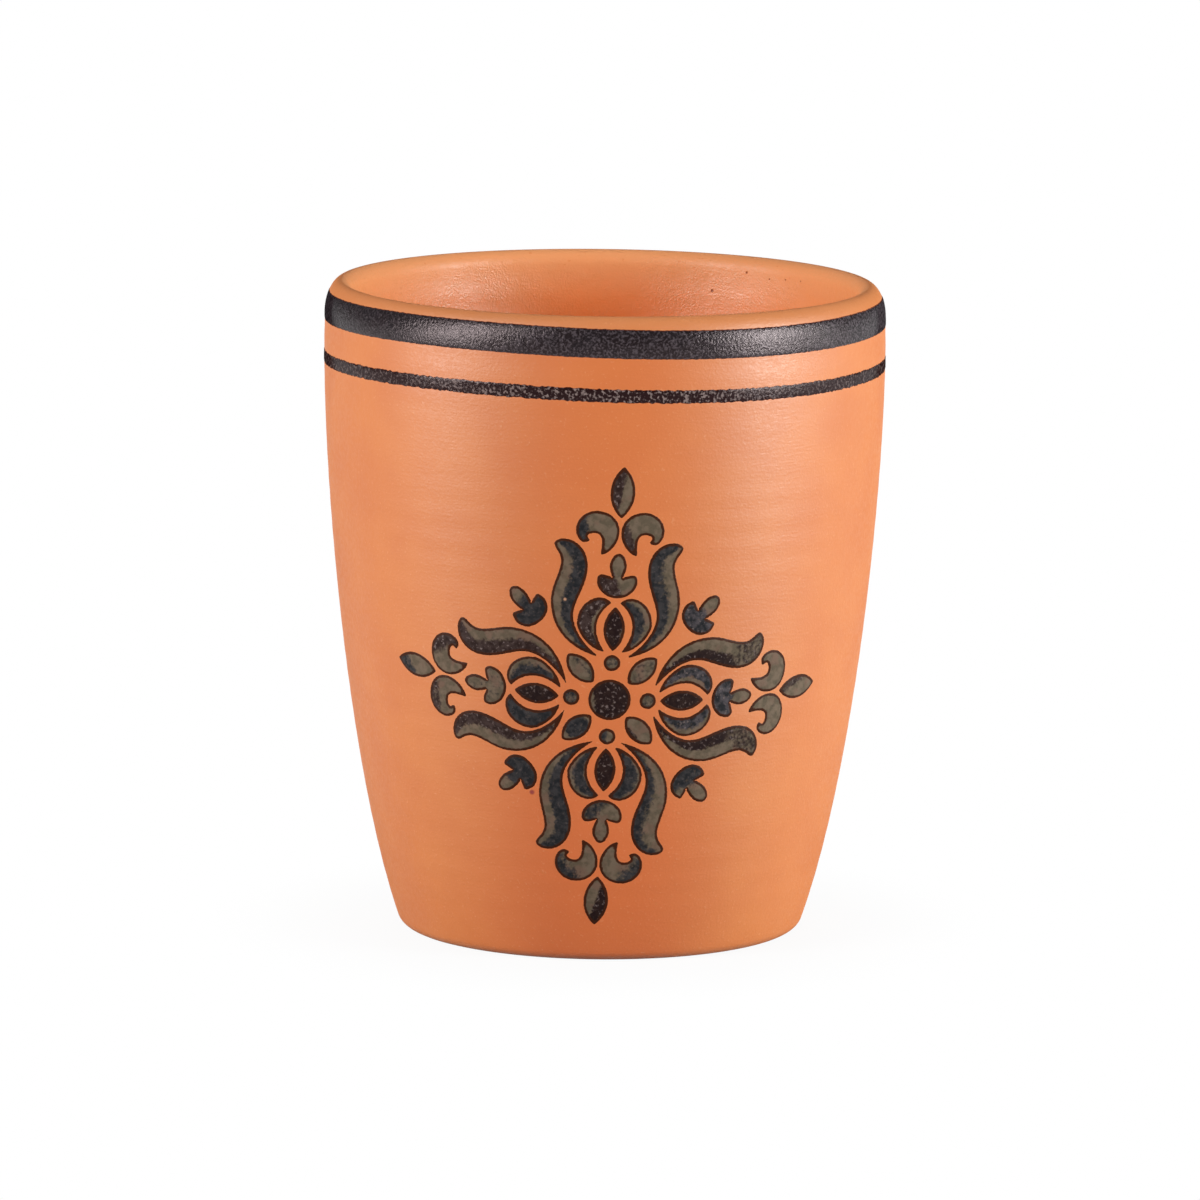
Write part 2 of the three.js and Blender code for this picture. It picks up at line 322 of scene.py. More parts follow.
def make_piece(name, points, faces, finish, node, **attributes):
    """A smooth mesh in place of a CAD node, with numbers on its points for its finish."""
    mesh = bpy.data.meshes.new(name)
    mesh.from_pydata((points * MM).tolist(), [], faces)
    mesh.polygons.foreach_set("use_smooth", [True] * len(mesh.polygons))
    for key, values in attributes.items():
        mesh.attributes.new(key, "FLOAT", "POINT").data.foreach_set("value", np.asarray(values, np.float32))
    mesh.materials.append(finish)
    piece = add(name, mesh)
    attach(piece, BODY)
    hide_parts(node)


def ring_faces(rings, segments, closed):
    """Faces between rings of points, and from the last ring to the first where closed."""
    faces = []
    for ring in range(rings if closed else rings - 1):
        low = ring * segments
        high = (ring + 1) % rings * segments
        for at in range(segments):
            after = (at + 1) % segments
            faces.append((low + at, low + after, high + after, high + at))
    return faces


# Clay body


def wall_rows(low, high):
    return np.linspace(low, high, round(abs(high - low) / CLAY_STEP) + 1)


def clay_outside():
    """Radius and height from the middle of the recess up to the crest of the lip."""
    ring_outer = FOOT_RADIUS - FOOT_ROUND
    ring_inner = ring_outer - FOOT_RING_WIDTH
    recess_edge = ring_inner - 2 * FOOT_RECESS
    slope = (ring_inner - FOOT_RECESS / 2, FOOT_RECESS), (ring_inner - FOOT_RECESS, 0)
    wall = np.stack(off_wall(wall_rows(FOOT_ROUND, CUP_HEIGHT - LIP_OUTER_DROP), 0), axis=1)
    stretches = [
        straight((0, FOOT_RECESS), (recess_edge, FOOT_RECESS), RECESS_POINTS),
        bezier((recess_edge, FOOT_RECESS), *slope, (ring_inner, 0), SLOPE_POINTS),
        straight((ring_inner, 0), (ring_outer, 0), RING_POINTS),
        rounded((ring_outer, 0), (FOOT_RADIUS, 0), wall[0], FOOT_POINTS),
        wall,
        outer_lip(OUTER_LIP_POINTS),
    ]
    return np.concatenate([stretch[1:] for stretch in stretches])


def clay_inside():
    """Radius and height from the crest of the lip down to the middle of the floor."""
    corner_top = FLOOR_TOP + FLOOR_CORNER
    wall = np.stack(inner_wall(wall_rows(CUP_HEIGHT - LIP_INNER_DROP, corner_top)), axis=1)
    low_radius, low_height = wall[-1]
    corner_radius = low_radius - (low_height - FLOOR_TOP) * math.tan(wall_lean(corner_top))
    floor_edge = (corner_radius - FLOOR_CORNER, FLOOR_TOP)
    stretches = [
        rounded(LIP_CREST, (wall[0][0], CUP_HEIGHT), wall[0], INNER_LIP_POINTS),
        wall,
        rounded(wall[-1], (corner_radius, FLOOR_TOP), floor_edge, CORNER_POINTS),
        straight(floor_edge, (0, FLOOR_TOP), FLOOR_POINTS)[:-1],
    ]
    return np.concatenate([stretch[1:] for stretch in stretches])


def clay_body(finish):
    outer, inner = clay_outside(), clay_inside()
    profile = np.concatenate([outer, inner])
    turn = np.arange(CLAY_SEGMENTS) * 2 * math.pi / CLAY_SEGMENTS
    radius, height = profile[:, :1], profile[:, 1:]
    fading = np.clip(height / EVEN_FOOT, 0, 1) * np.clip(radius / EVEN_FLOOR, 0, 1)
    rings = placed(turn, radius + fading * wobble(turn, height), height - sag(turn, height)).reshape(-1, 3)
    points = np.concatenate([rings, [(0, 0, FOOT_RECESS), (0, 0, FLOOR_TOP)]])
    faces = ring_faces(len(profile), CLAY_SEGMENTS, closed=False)
    under, floor = len(rings), len(rings) + 1
    last = len(rings) - CLAY_SEGMENTS
    for at in range(CLAY_SEGMENTS):
        after = (at + 1) % CLAY_SEGMENTS
        faces.append((under, after, at))
        faces.append((last + at, last + after, floor))
    inside = np.repeat([0.0, 1.0, 0.0, 1.0], [len(outer) * CLAY_SEGMENTS, len(inner) * CLAY_SEGMENTS, 1, 1])
    reach = np.where(inside > 0, LIP_REACH_INSIDE, LIP_REACH_OUTSIDE)
    # Share towards the crest, over which the clay is painted paler as painted highlight.
    pale = step(0, 1, 1 - (CUP_HEIGHT - points[:, 2]) / reach)
    shares = {"inside": inside, "inner_lip": pale * inside, "outer_lip": pale * (1 - inside)}
    make_piece("clay_body", points, faces, finish, "cup_body", **shares)


# Enamel stripes


def pebbles(points, size):
    """Lumps of about that size, from -1 to 1, at points in space."""
    return np.array([noise.noise(Vector(point) / size) for point in points])


def enamel_height(distance, lumps):
    """Height of the pebbled enamel above the clay at a distance from its edge."""
    share = np.clip(distance / BEVEL, 0, 1)
    rim = -SINK + (SINK + RELIEF) * np.sin(share * math.pi / 2)
    return rim + DOME * (1 - np.exp(-distance / DOME_REACH)) + PEBBLE * share * lumps


def round_the_cup(turn, height, outwards):
    """Points moved out of the wall, or out of the lip where it rounds inwards."""
    radius, moved = off_wall(height, outwards)
    lip_radii, lip_heights = outer_lip(LIP_SAMPLES).T
    clay_height = height + sag(turn, height)
    inset = np.maximum(wall_radius(clay_height) - np.interp(clay_height, lip_heights, lip_radii), 0)
    inset = np.where(clay_height > lip_heights[0], inset, 0)
    return placed(turn, radius + wobble(turn, height) - inset, moved)


def stripe(name, node, top, width, ragged, finish):
    """A closed ring of enamel with ragged edges, laid round the wall."""
    turn = np.arange(BAND_SEGMENTS) * 2 * math.pi / BAND_SEGMENTS
    middle = top - width / 2
    edge_points = placed(turn, RIM_RADIUS, middle)
    low_edge = ragged * pebbles(edge_points, BAND_RAGGED_SIZE)
    high_edge = width + ragged * pebbles(edge_points + width, BAND_RAGGED_SIZE)
    fall = -np.sin(turn) * wall_radius(middle) * math.tan(BAND_TILT) - BAND_WAVE * np.sin(BAND_WAVES * turn)
    bottom = middle - width / 2 + fall
    rows = round(width / BAND_STEP)
    first = BAND_EDGE_ROW / rows
    rings, edges = [], []
    for share in (0, first, *np.arange(1, rows) / rows, 1 - first, 1):
        rise = low_edge + share * (high_edge - low_edge)
        edge = np.minimum(rise - low_edge, high_edge - rise)
        lumps = pebbles(placed(turn, RIM_RADIUS, bottom + rise), BAND_PEBBLE_SIZE)
        rings.append(round_the_cup(turn, bottom + rise, enamel_height(edge, lumps)))
        edges.append(edge)
    for share in (1, 0.5, 0):
        rise = low_edge + share * (high_edge - low_edge)
        rings.append(round_the_cup(turn, bottom + rise, -UNDERSIDE))
        edges.append(np.zeros(BAND_SEGMENTS))
    faces = ring_faces(len(rings), BAND_SEGMENTS, closed=True)
    make_piece(name, np.concatenate(rings), faces, finish, node, edge=np.concatenate(edges))


# Outlines of the flower, drawn anticlockwise on the grid with the arm pointing up


def arc(centre, radius, start, end):
    def draw(count):
        turn = np.linspace(start, end, count)
        return np.stack([centre[0] + radius * np.cos(turn), centre[1] + radius * np.sin(turn)], axis=1)

    return draw


def spot(middle, radius):
    return [arc((0, middle), radius, 0, 2 * math.pi)]


def leaf(low, high, half_width, tip):
    """Two long arcs that meet in small round tips."""
    middle = (low + high) / 2
    rise = (high - low) / 2 - tip
    radius = (half_width**2 + rise**2 - tip**2) / (2 * (half_width - tip))
    aside = radius - half_width
    half = math.atan2(rise, aside)
    return [
        arc((-aside, middle), radius, -half, half),
        arc((0, middle + rise), tip, half, math.pi - half),
        arc((aside, middle), radius, math.pi - half, math.pi + half),
        arc((0, middle - rise), tip, math.pi + half, 2 * math.pi - half),
    ]


def drawn(start, *bends):
    """Cubic curves one after another, each with its two handles and its end."""
    curves = []
    for first, second, end in bends:
        curves.append(lambda count, points=(start, first, second, end): bezier(*points, count))
        start = end
    return curves


def both_sides(start, *bends):
    """An outline from its foot up its +X side to its top, and down the other side as in a mirror."""
    ends = [start, *(end for _, _, end in bends)]
    back = [
        tuple((-x, y) for x, y in (second, first, end))
        for (first, second, _), end in zip(reversed(bends), reversed(ends[:-1]))
    ]
    return drawn(start, *bends, *back)


def centre_disc():
    return spot(middle=0, radius=8.8)


def dot():
    return spot(middle=16.0, radius=3.45)


def diagonal_leaf():
    return leaf(low=10.4, high=26.2, half_width=4.65, tip=1.3)


def seed():
    return leaf(low=21.3, high=40.1, half_width=4.4, tip=0.5)


def tip_leaf():
    return leaf(low=78.3, high=DRAWN_REACH, half_width=5.1, tip=0.5)


def inner_petal():
    return drawn(
        (3.4, 20.7),
        ((9.1, 20.9), (15.6, 28.1), (15.6, 32.7)),
        ((15.6, 42.7), (5.8, 46.9), (1.9, 41.9)),
        ((10.0, 35.0), (8.2, 27.3), (3.4, 20.7)),
    )


def outer_petal():
    return drawn(
        (5.5, 18.4),
        ((16.7, 20.4), (27.3, 28.3), (27.0, 42.4)),
        ((27.0, 47.8), (23.8, 53.3), (23.8, 57.9)),
        ((23.8, 61.6), (26.3, 62.9), (27.0, 65.2)),
        ((27.3, 66.6), (25.0, 68.0), (22.8, 68.0)),
        ((17.0, 68.0), (12.6, 63.2), (12.6, 56.2)),
        ((12.6, 48.2), (17.4, 42.1), (17.4, 36.0)),
        ((17.4, 29.7), (12.0, 22.8), (5.5, 18.4)),
    )


def bud():
    return both_sides(
        (0, 44.0),
        ((4.7, 44.0), (8.5, 47.6), (8.4, 51.4)),
        ((8.4, 53.0), (7.6, 54.0), (6.4, 54.0)),
        ((5.0, 54.0), (3.6, 53.3), (2.3, 53.0)),
        ((2.7, 54.6), (3.5, 55.9), (3.5, 57.6)),
        ((3.5, 60.2), (2.0, 63.2), (0, 63.2)),
    )


def sprig():
    return both_sides(
        (0, 44.0),
        ((4.2, 44.0), (7.0, 45.8), (8.0, 49.0)),
        ((8.5, 50.6), (7.9, 52.4), (7.2, 54.0)),
        ((5.7, 53.6), (4.2, 53.1), (2.8, 52.6)),
        ((3.2, 54.0), (3.6, 55.8), (3.6, 57.4)),
        ((3.6, 60.0), (2.0, 62.6), (0, 62.6)),
    )


def scroll():
    return drawn(
        (7.6, 62.3),
        ((7.5, 63.6), (7.3, 64.8), (7.3, 66.6)),
        ((7.3, 69.2), (8.0, 71.4), (10.3, 71.4)),
        ((13.2, 71.4), (14.4, 69.7), (12.4, 68.7)),
        ((12.5, 67.7), (13.6, 67.2), (14.8, 67.2)),
        ((16.5, 67.2), (18.4, 69.7), (18.4, 72.7)),
        ((18.4, 77.0), (14.6, 80.9), (9.8, 80.9)),
        ((4.5, 80.9), (0.4, 77.4), (0.4, 72.2)),
        ((0.4, 67.1), (4.2, 62.8), (7.6, 62.3)),
    )


# Motifs in enamel: an outline filled with faces and laid on the wall

CONE_LEAN = float(wall_lean(FLOWER_HEIGHT))
CONE_APEX = float(wall_radius(FLOWER_HEIGHT)) / math.sin(CONE_LEAN)
FLOWER_REACH = (FLOWER_TOP - FLOWER_HEIGHT) / math.cos(CONE_LEAN)
UNIT = FLOWER_REACH / DRAWN_REACH


def outline_points(curves):
    """Points along a drawn outline in real size, evenly spaced."""
    stretches = []
    for draw in curves:
        probe = draw(OUTLINE_SAMPLES) * UNIT
        length = np.linalg.norm(np.diff(probe, axis=0), axis=1).sum()
        stretches.append(draw(max(3, round(length / OUTLINE_STEP) + 1))[:-1] * UNIT)
    return np.concatenate(stretches)


def inward(loop):
    """Unit vectors into an anticlockwise loop, at each of its points."""
    along = np.roll(loop, -1, axis=0) - np.roll(loop, 1, axis=0)
    along /= np.linalg.norm(along, axis=1)[:, None]
    return np.stack([-along[:, 1], along[:, 0]], axis=1)


def edge_distance(points, line, closed=True):
    """Least distance from each point to a line of points."""
    ends = np.roll(line, -1, axis=0) if closed else line[1:]
    starts = line if closed else line[:-1]
    span = ends - starts
    apart = points[:, None] - starts
    along = np.clip((apart * span).sum(2) / np.maximum((span**2).sum(1), TINY), 0, 1)
    return np.linalg.norm(apart - along[..., None] * span, axis=2).min(1)


def within(points, loop):
    """Whether each point lies in a closed loop."""
    x, y = points[:, :1], points[:, 1:]
    ax, ay = loop.T
    bx, by = np.roll(loop, -1, axis=0).T
    crossing = (ay > y) != (by > y)
    rise = np.where(by == ay, 1, by - ay)
    return (crossing & (x < ax + (y - ay) / rise * (bx - ax))).sum(1) % 2 == 1


def fill_points(loop):
    """Points in two rows along the edge and on a grid of triangles in the middle."""
    kept = []
    for share in BEVEL_ROWS:
        inset = share * BEVEL
        row = loop[::2] + inset * inward(loop)[::2]
        clear = edge_distance(row, loop) > ROW_CLEARANCE * inset
        kept.append(row[within(row, loop) & clear])
    low, high = loop.min(0), loop.max(0)
    rows = np.arange(low[1], high[1], FILL_STEP * math.sqrt(0.75))
    columns = np.arange(low[0], high[0], FILL_STEP)
    grid = np.array([(x + FILL_STEP / 2 * (row % 2), y) for row, y in enumerate(rows) for x in columns])
    grid = grid[within(grid, loop)]
    return np.concatenate([*kept, grid[edge_distance(grid, loop) > BEVEL + FILL_STEP / 2]])


def filled(loop):
    """Points and triangles of a flat sheet inside a loop."""
    points = [Vector(point) for point in (*loop, *fill_points(loop))]
    border = list(range(len(loop)))
    found = delaunay_2d_cdt(points, [], [border], INSIDE_ONLY, MERGED_WITHIN)
    return np.array([tuple(point) for point in found[0]]), [tuple(face) for face in found[2]]


def border_faces(faces, count):
    """Side faces from the open edges of a sheet to its copy, whose points come count later."""
    sides = {(face[at - 1], face[at]) for face in faces for at in range(3)}
    return [(b, a, count + a, count + b) for a, b in sorted(sides) if (b, a) not in sides]


def laid_on_wall(points, outwards):
    """Flat points rolled on the wall, which is close to a cone, and moved out of it."""
    x, y = points.T
    distance = np.hypot(x, CONE_APEX + y)
    height = FLOWER_HEIGHT + (distance - CONE_APEX) * math.cos(CONE_LEAN)
    turn = FLOWER_TURN + np.arctan2(x, CONE_APEX + y) * distance / wall_radius(height)
    radius, moved = off_wall(height, outwards)
    return placed(turn, radius + wobble(turn, height), moved)


def motif(node, curves, turn, mirrored, shade, finish):
    """A patch of enamel in place of a CAD node. Its shade gives a tone for each drawn point."""
    loop = outline_points(curves)
    strays = MOTIF_RAGGED * pebbles(np.insert(loop, 2, turn, axis=1), MOTIF_RAGGED_SIZE)
    loop = loop + (strays - SPREAD)[:, None] * inward(loop)
    flat, faces = filled(loop)
    distance = edge_distance(flat, loop)
    tones = shade(flat / UNIT)
    if mirrored:
        flat = flat * (-1, 1)
        faces = [face[::-1] for face in faces]
    angle = -math.radians(turn) - FLOWER_TILT
    sheet = flat @ np.array([[math.cos(angle), math.sin(angle)], [-math.sin(angle), math.cos(angle)]])
    lumps = pebbles(np.insert(sheet, 2, 0, axis=1), MOTIF_PEBBLE_SIZE)
    top = laid_on_wall(sheet, enamel_height(distance, lumps))
    back = laid_on_wall(sheet, -UNDERSIDE)
    count = len(flat)
    under = [tuple(count + corner for corner in face[::-1]) for face in faces]
    faces = faces + under + border_faces(faces, count)
    both = {"edge": np.tile(distance, 2), "tone": np.tile(tones, 2)}
    make_piece("enamel_" + node, np.concatenate([top, back]), faces, finish, node, **both)


# Tones of the painted motifs, from 0, olive, to 1, dark, at points of the drawn outlines


def across(points, curves, near, far):
    """Share of the way from one stretch of an outline, 0, to another, 1."""
    lines = [np.concatenate([curves[at](TONE_SAMPLES) for at in stretch]) for stretch in (near, far)]
    first, second = (edge_distance(points, line, closed=False) for line in lines)
    return first / (first + second + TINY)


def before(split, soft, share):
    """1 before a split, falling to 0 past it over a soft border."""
    return step(split + SOFT_REACH * soft, split - SOFT_REACH * soft, share)


def outer_shade(split, soft, root=1.0, tip=None):
    """Dark on the side of the arm's axis, with tones of their own at the root and at the tip."""

    def shade(points):
        tone = before(split, soft, across(points, outer_petal(), near=(4, 5, 6), far=(0, 1, 2)))
        tone = np.maximum(tone, root * step(*ROOT_ZONE, points[:, 1]))
        if tip is None:
            return tone
        end = step(*TIP_ZONE, points[:, 1])
        return tone * (1 - end) + tip * end

    return shade


def inner_shade(split, soft, rim=0.0):
    """Dark on the side of the arm's axis, but for an olive rim on that side."""

    def shade(points):
        share = across(points, inner_petal(), near=(2,), far=(0, 1))
        return before(split, soft, share) * step(*RIM_ZONE, share - rim)

    return shade


def side(direction, share, strength=1.0, soft=0.1):
    """Dark on one side of a motif, in degrees clockwise from the way that its arm points."""

    def shade(points):
        along = points @ np.array([math.sin(math.radians(direction)), math.cos(math.radians(direction))])
        low, high = along.min(), along.max()
        split = high - share * (high - low)
        return strength * step(split - soft * (high - low), split + soft * (high - low), along)

    return shade


def round_spot(x, y, radius):
    return lambda points: step(radius, SPOT_CORE * radius, np.hypot(points[:, 0] - x, points[:, 1] - y))


def plain(tone):
    return lambda points: np.full(len(points), tone)


# Finishes


def srgb(red, green, blue):
    """A colour as seen on a screen, in linear numbers."""
    shares = [value / 255 for value in (red, green, blue)]
    return (*(s / 12.92 if s <= 0.04045 else ((s + 0.055) / 1.055) ** 2.4 for s in shares), 1.0)


CLAY_DEEP = srgb(209, 113, 50)
CLAY_PALE = srgb(215, 121, 56)
# Painted shade: redder clay for the middle of the front
CLAY_PAINTED_SHADE = srgb(216, 106, 46)
CLAY_GRAIN = srgb(230, 156, 108)
# Painted light: paler clay for the inside, and painted shade for its middle
CLAY_PAINTED_LIGHT_INSIDE = srgb(232, 136, 76)
CLAY_MIDDLE_PAINTED_SHADE = srgb(237, 129, 66)
# Painted highlight and sheen: paler clay towards the lip, inside and on the crest
CLAY_LIP_PAINTED_HIGHLIGHT = srgb(226, 148, 96)
CLAY_CREST_PAINTED_SHEEN = srgb(208, 126, 73)
# Painted shade in the pits
CLAY_PIT_PAINTED_SHADE = srgb(172, 90, 54)
DRIP_RED = srgb(140, 26, 6)
FRINGE = srgb(120, 55, 30)
CHIP_PINK = srgb(205, 150, 118)
OUTLINE = srgb(60, 26, 9)
OLIVE = srgb(95, 81, 66)
OLIVE_PALE = srgb(116, 97, 81)
TAUPE = srgb(118, 90, 76)
SLATE = srgb(60, 52, 48)
NAVY = srgb(30, 30, 33)
# Painted sheen: a lighter dark for the navy pieces on the +X side
STEEL = srgb(58, 54, 55)
NAVY_PAINTED_SHEEN = srgb(80, 72, 75)
UMBER = srgb(40, 24, 21)
PURPLE = srgb(66, 50, 47)
PLUM = srgb(28, 12, 12)
MAROON = srgb(35, 15, 16)
SPECK = srgb(138, 118, 114)
CHARCOAL = srgb(29, 24, 27)
CHARCOAL_PALE = srgb(78, 68, 72)

# Linear colours of gloss, lights and floor
GLINT = (1.0, 0.78, 0.78, 1.0)
WHITE = (1.0, 1.0, 1.0, 1.0)
COOL = (0.92, 1.0, 1.0, 1.0)
FAINTLY_COOL = (0.96, 1.0, 1.0, 1.0)
FLOOR_SEEN = (0.8, 0.8, 0.8, 1.0)
FLOOR_LIT = (0.1, 0.1, 0.1, 1.0)

# Gloss, and the share of the way to a grazing angle over which it gets duller
CLAY_GLOSS = 0.85
CLAY_GRAZING_GLOSS = 0.2
CLAY_GRAZING = (0.55, 0.9)
LIP_GLOSS = 0.35  # share of the gloss just inside the lip
STRIPE_GRAZING = (0.38, 0.78)
ENAMEL_GLOSS = 0.1

# Least and most roughness
CLAY_ROUGH = (0.43, 0.53)
STRIPE_ROUGH = (0.18, 0.28)
ENAMEL_ROUGH = (0.4, 0.56)
INSIDE_SMOOTHER = 0.06  # by how much the inside is less rough

# How far lumps move the border between two tones, and the dark outline
TONE_FRAY = 1.6
OUTLINE_FRAY = 0.3


class Finish:
    """A material, with short calls for the nodes that its colours and bumps are made of."""

    def __init__(self, name):
        self.material = bpy.data.materials.new(name)
        self.material.use_nodes = True
        self.tree = self.material.node_tree
        self.shader = self.tree.nodes["Principled BSDF"]
        self.place = self.node("ShaderNodeTexCoord").outputs["Object"]

    def node(self, kind, **settings):
        made = self.tree.nodes.new(kind)
        for key, value in settings.items():
            setattr(made, key, value)
        return made

    def feed(self, socket, value):
        """Links an output to a socket, or sets the socket to a plain value."""
        if isinstance(value, bpy.types.NodeSocket):
            self.tree.links.new(value, socket)
        else:
            socket.default_value = value

    def cloud(self, size, detail=2.0, flatten=1.0, shift=0.0):
        """Noise with lumps of about that size, squeezed in height by a factor."""
        mapping = self.node("ShaderNodeMapping")
        self.feed(mapping.inputs["Vector"], self.place)
        scale = 1 / (size * MM)
        mapping.inputs["Scale"].default_value = (scale, scale, scale * flatten)
        mapping.inputs["Location"].default_value = (shift, shift, shift)
        made = self.node("ShaderNodeTexNoise")
        self.feed(made.inputs["Vector"], mapping.outputs["Vector"])
        made.inputs["Scale"].default_value = 1.0
        made.inputs["Detail"].default_value = detail
        return made.outputs["Fac"]

    def attribute(self, name):
        return self.node("ShaderNodeAttribute", attribute_name=name).outputs["Fac"]

    def along(self, axis):
        """The place along one of the cup's axes, in metres."""
        made = self.node("ShaderNodeSeparateXYZ")
        self.feed(made.inputs[0], self.place)
        return made.outputs[axis]

    def between(self, value, low, high, start=0.0, end=1.0):
        """A value's place between two limits, eased, as a number from start to end."""
        made = self.node("ShaderNodeMapRange", interpolation_type="SMOOTHSTEP")
        for socket, number in zip(made.inputs[:5], (value, low, high, start, end)):
            self.feed(socket, number)
        return made.outputs["Result"]

    def over(self, metres, reach, start, end):
        """A number from start to end over a reach in millimetres."""
        low, high = reach
        return self.between(metres, low * MM, high * MM, start, end)

    def math(self, operation, first, second=0.0, third=0.0):
        made = self.node("ShaderNodeMath", operation=operation)
        for socket, value in zip(made.inputs, (first, second, third)):
            self.feed(socket, value)
        return made.outputs["Value"]

    def mix(self, share, first, second):
        """A colour between two others, whose sockets come after those for numbers and vectors."""
        made = self.node("ShaderNodeMix", data_type="RGBA")
        for socket, value in zip((made.inputs[0], made.inputs[6], made.inputs[7]), (share, first, second)):
            self.feed(socket, value)
        return made.outputs[2]

    def near(self, turn, height, radius, inner):
        """1 at a place on the wall, falling to 0 at a radius from it."""
        at_radius, at_height = inner_wall(height) if inner else off_wall(height, 0)
        made = self.node("ShaderNodeVectorMath", operation="DISTANCE")
        self.feed(made.inputs[0], self.place)
        made.inputs[1].default_value = placed(math.radians(turn), at_radius, at_height) * MM
        return self.over(made.outputs["Value"], (MARK_CORE * radius, radius), 1.0, 0.0)

    def bump(self, height, depth, below=None):
        """Normals of a surface that the height lifts by a depth in millimetres."""
        made = self.node("ShaderNodeBump")
        made.inputs["Distance"].default_value = depth * MM
        self.feed(made.inputs["Height"], height)
        if below:
            self.feed(made.inputs["Normal"], below)
        return made.outputs["Normal"]

    def dulled(self, gloss, grazing_gloss, start, end):
        """A gloss that falls to another one where the surface is seen at a grazing angle."""
        facing = self.node("ShaderNodeLayerWeight").outputs["Facing"]
        return self.between(facing, start, end, gloss, grazing_gloss)

    def shade(self, **sockets):
        for name, value in sockets.items():
            self.feed(self.shader.inputs[name.replace("_", " ").title().replace("Ior", "IOR")], value)
        return self.material


def clay_colour(f, inside, inner_lip, grain, pits):
    """Painted shade makes the middle of the front and the middle of the inside redder, painted light and
    highlight make the inside and the lip paler, and painted shade darkens the pits; grains, specks and a
    drip are the clay's own.
    """
    aside = f.math("ABSOLUTE", f.along("X"))
    # Painted shade: the middle of the front is redder, most at the foot.
    front_painted_shade = f.over(aside, PAINTED_SHADE_WIDTH, 1.0, 0.0)
    front_painted_shade = f.math("MULTIPLY", front_painted_shade, f.over(f.along("Z"), PAINTED_SHADE_HEIGHT, 1.0, PAINTED_SHADE_ABOVE))
    front_painted_shade = f.math("MULTIPLY", front_painted_shade, f.over(f.along("Y"), PAINTED_SHADE_FRONT, 1.0, 0.0))
    # Painted shade: the middle of the inside is redder.
    middle_painted_shade = f.over(aside, MIDDLE_PAINTED_SHADE_WIDTH, 1.0, 0.0)
    colour = f.mix(f.between(f.cloud(size=9.0, detail=3.0), 0.25, 0.75), CLAY_DEEP, CLAY_PALE)
    colour = f.mix(front_painted_shade, colour, CLAY_PAINTED_SHADE)
    # Painted light: the inside is paler than the outside.
    colour = f.mix(inside, colour, f.mix(middle_painted_shade, CLAY_PAINTED_LIGHT_INSIDE, CLAY_MIDDLE_PAINTED_SHADE))
    # Painted highlight: paler towards the lip, inside and on the crest.
    colour = f.mix(inner_lip, colour, CLAY_LIP_PAINTED_HIGHLIGHT)
    colour = f.mix(f.attribute("outer_lip"), colour, CLAY_CREST_PAINTED_SHEEN)
    colour = f.mix(f.between(grain, 0.6, 0.8, 0.0, 0.4), colour, CLAY_GRAIN)
    specks = f.between(f.cloud(size=0.7, detail=1.0, shift=5.0), 0.7, 0.78, 0.0, 0.4)
    colour = f.mix(specks, colour, CLAY_DEEP)
    # Painted shade in the pits, which the bump also dents.
    colour = f.mix(pits, colour, CLAY_PIT_PAINTED_SHADE)
    return f.mix(f.near(*DRIP, inner=False), colour, DRIP_RED)


def clay_relief(f, inside, grain, pits):
    """Marks of turning, grain, a coarser skin in patches of the inside, and pits."""
    normal = f.bump(f.cloud(size=2.2, detail=3.0, flatten=7.0), depth=0.02)
    normal = f.bump(grain, depth=0.025, below=normal)
    coarse = f.math("MULTIPLY", f.between(f.cloud(size=2.6, shift=6.0), 0.35, 0.65, 0.35, 1.0), inside)
    normal = f.bump(f.math("MULTIPLY", f.cloud(size=0.25, shift=3.0), coarse), depth=0.065, below=normal)
    return f.bump(f.math("MULTIPLY", pits, -1.0), depth=0.15, below=normal)


def clay_finish():
    f = Finish("terracotta")
    inside = f.attribute("inside")
    inner_lip = f.attribute("inner_lip")
    grain = f.cloud(size=0.35)
    pits = 0.0
    for turn, height, radius in PITS:
        pits = f.math("MAXIMUM", f.near(turn, height, radius, inner=True), pits)
    rough = f.between(f.cloud(size=0.6, shift=9.0), 0.3, 0.7, *CLAY_ROUGH)
    gloss = f.dulled(CLAY_GLOSS, CLAY_GRAZING_GLOSS, *CLAY_GRAZING)
    return f.shade(
        base_color=clay_colour(f, inside, inner_lip, grain, pits),
        roughness=f.math("MULTIPLY_ADD", inside, -INSIDE_SMOOTHER, rough),
        normal=clay_relief(f, inside, grain, pits),
        specular_ior_level=f.math("MULTIPLY", gloss, f.between(inner_lip, 0.6, 0.95, 1.0, LIP_GLOSS)),
    )


def stripe_finish(name, base, pale, size, specks, sides, depth, gloss):
    """Speckled enamel: pale between two heights of its lumps, and more or less so towards -X and +X, which
    paints shade and sheen on the stripe's ends.
    """
    f = Finish(name)
    lumps = f.cloud(size, detail=3.0)
    # Painted shade and sheen: the pale share falls or grows towards the stripe's ends.
    near, far = STRIPE_END_PAINTED_LIGHT_REACH
    left = f.over(f.along("X"), (-far, -near), sides[0], 1.0)
    right = f.over(f.along("X"), (near, far), 1.0, sides[1])
    strength = f.math("MULTIPLY", left, right)
    colour = f.mix(f.between(f.cloud(size=3.0), 0.3, 0.7, 0.0, 0.35), base, PLUM)
    colour = f.mix(f.math("MULTIPLY", f.between(lumps, *specks), strength), colour, pale)
    return f.shade(
        base_color=f.mix(f.between(f.attribute("edge"), *FRINGE_WIDTH, 1.0, 0.0), colour, FRINGE),
        roughness=f.between(f.cloud(size=0.5, shift=3.0), 0.3, 0.7, *STRIPE_ROUGH),
        normal=f.bump(lumps, depth),
        specular_ior_level=f.dulled(gloss, 0.0, *STRIPE_GRAZING),
        specular_tint=GLINT,
    )


